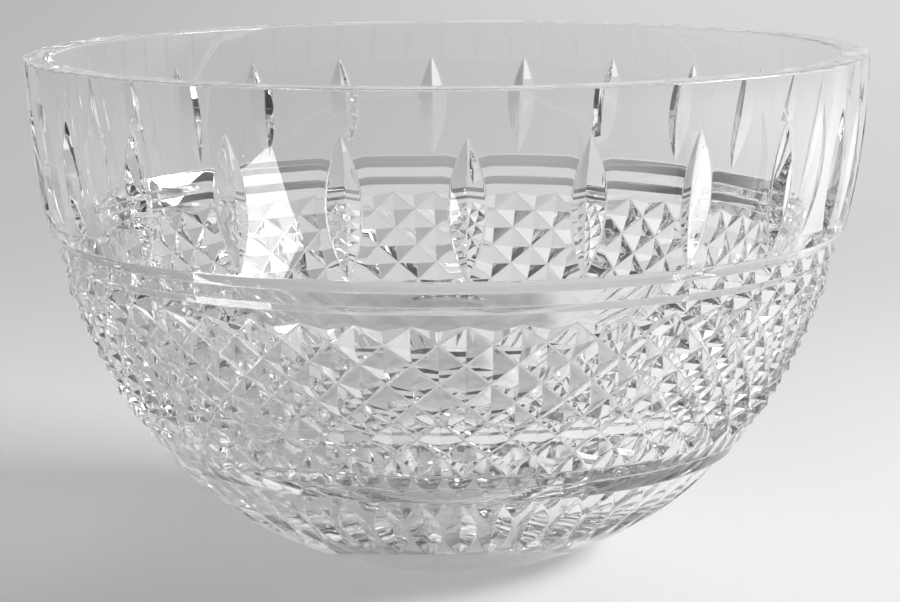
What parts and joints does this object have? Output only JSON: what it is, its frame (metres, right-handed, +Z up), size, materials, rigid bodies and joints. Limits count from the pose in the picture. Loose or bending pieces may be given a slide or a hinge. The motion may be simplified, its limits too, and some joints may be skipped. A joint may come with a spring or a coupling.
{
  "type": "trifle bowl",
  "caption": "Round cut crystal trifle bowl with pointed oval wedge cuts, ring cuts, a diamond band and flutes, on a flat ground foot.",
  "frame": {"origin": "centre of the ground foot, on the plane the bowl stands on", "axes": "+Z up the bowl's axis, -Y towards the viewer, +X to the viewer's right"},
  "size_m": [0.23, 0.23, 0.139],
  "materials": {
    "crystal": "polished"
  },
  "bodies": {
    "root": {"rim": "crystal", "olive_wall": "crystal", "collar": "crystal", "diamond_band": "crystal", "belt": "crystal", "flute_band": "crystal", "base": "crystal"}
  },
  "joints": []
}
